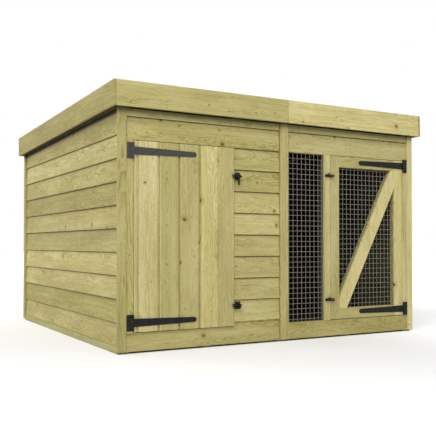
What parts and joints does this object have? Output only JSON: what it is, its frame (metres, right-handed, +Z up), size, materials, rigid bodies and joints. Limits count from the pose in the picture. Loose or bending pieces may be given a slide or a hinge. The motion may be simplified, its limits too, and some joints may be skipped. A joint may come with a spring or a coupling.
{
  "type": "dog kennel with run",
  "caption": "Lapped timber dog kennel with a mesh run under one low pent roof, with a boarded kennel door and a framed mesh door on tee hinges and sliding bolts.",
  "frame": {"origin": "on the ground, under the middle of the roof", "axes": "+Z up, the doors face -Y, and the kennel bay is at -X with the run bay at +X"},
  "size_m": [1.896, 1.793, 1.2542],
  "materials": {
    "cladding": "matte",
    "bottom_boards": "matte",
    "side_cladding": "matte",
    "trims": "matte",
    "fascia": "matte",
    "side_fascia": "matte",
    "door_boards": "matte",
    "door_stiles": "matte",
    "door_rails": "matte",
    "door_brace": "matte",
    "door_backs": "matte",
    "framing": "matte",
    "joists": "matte",
    "bearers": "matte",
    "deck_boards": "matte",
    "partition_boards": "matte",
    "wire": "dull",
    "felt": "matte",
    "hinge_metal": "satin",
    "bolt_metal": "satin",
    "screws": "satin"
  },
  "bodies": {
    "house": {"floor_bearers": "bearers", "floor_boards": "deck_boards", "front_frame": "framing", "left_frame": "framing", "right_frame": "framing", "back_frame": "framing", "partition_frame": "framing", "partition_boards": "partition_boards", "front_cladding": "cladding", "front_header_boards": "cladding", "kennel_bottom_board": "bottom_boards", "run_bottom_board": "bottom_boards", "left_cladding": "side_cladding", "right_cladding": "side_cladding", "back_cladding": "cladding", "corner_trims": "trims", "divider_trim": "trims", "kennel_jamb": "trims", "run_jambs": "trims", "door_stops": "trims", "run_panel_mesh": "wire", "roof_joists": "joists", "roof_boards": "deck_boards", "roof_felt": "felt", "front_fascia": "fascia", "back_fascia": "fascia", "left_fascia": "side_fascia", "right_fascia": "side_fascia", "kennel_hinge_plates": "hinge_metal", "kennel_hinge_pins": "hinge_metal", "run_hinge_plates": "hinge_metal", "run_hinge_pins": "hinge_metal", "hinge_plate_screws": "screws", "kennel_bolt_pads": "trims", "kennel_bolt_brackets": "bolt_metal", "run_bolt_brackets": "bolt_metal", "bolt_screws": "screws"},
    "kennel_door": {"kennel_door_boards": "door_boards", "kennel_door_ledges": "door_backs", "kennel_door_braces": "door_backs", "kennel_hinge_straps": "hinge_metal", "kennel_strap_screws": "screws", "kennel_bolt_keepers": "bolt_metal"},
    "run_door": {"run_door_stiles": "door_stiles", "run_door_rails": "door_rails", "run_door_brace": "door_brace", "run_door_mesh": "wire", "run_door_battens": "door_backs", "run_hinge_straps": "hinge_metal", "run_strap_screws": "screws", "run_bolt_keepers": "bolt_metal"},
    "kennel_upper_bolt": {"kennel_upper_bolt_bar": "bolt_metal"},
    "kennel_lower_bolt": {"kennel_lower_bolt_bar": "bolt_metal"},
    "run_upper_bolt": {"run_upper_bolt_bar": "bolt_metal"},
    "run_lower_bolt": {"run_lower_bolt_bar": "bolt_metal"}
  },
  "joints": [
    {"name": "kennel_door_hinge", "type": "hinge", "parent": "house", "child": "kennel_door", "pos_m": [-0.844, -0.8688, 0.54], "axis": [0, 0, -1], "range_deg": [0, 170]},
    {"name": "run_door_hinge", "type": "hinge", "parent": "house", "child": "run_door", "pos_m": [0.842, -0.8688, 0.5455], "axis": [0, 0, 1], "range_deg": [0, 170]},
    {"name": "kennel_upper_bolt_slide", "type": "slide", "parent": "house", "child": "kennel_upper_bolt", "axis": [-1, 0, 0], "range_m": [0, 0.011]},
    {"name": "kennel_lower_bolt_slide", "type": "slide", "parent": "house", "child": "kennel_lower_bolt", "axis": [-1, 0, 0], "range_m": [0, 0.011]},
    {"name": "run_upper_bolt_slide", "type": "slide", "parent": "house", "child": "run_upper_bolt", "axis": [1, 0, 0], "range_m": [0, 0.011]},
    {"name": "run_lower_bolt_slide", "type": "slide", "parent": "house", "child": "run_lower_bolt", "axis": [1, 0, 0], "range_m": [0, 0.011]}
  ]
}
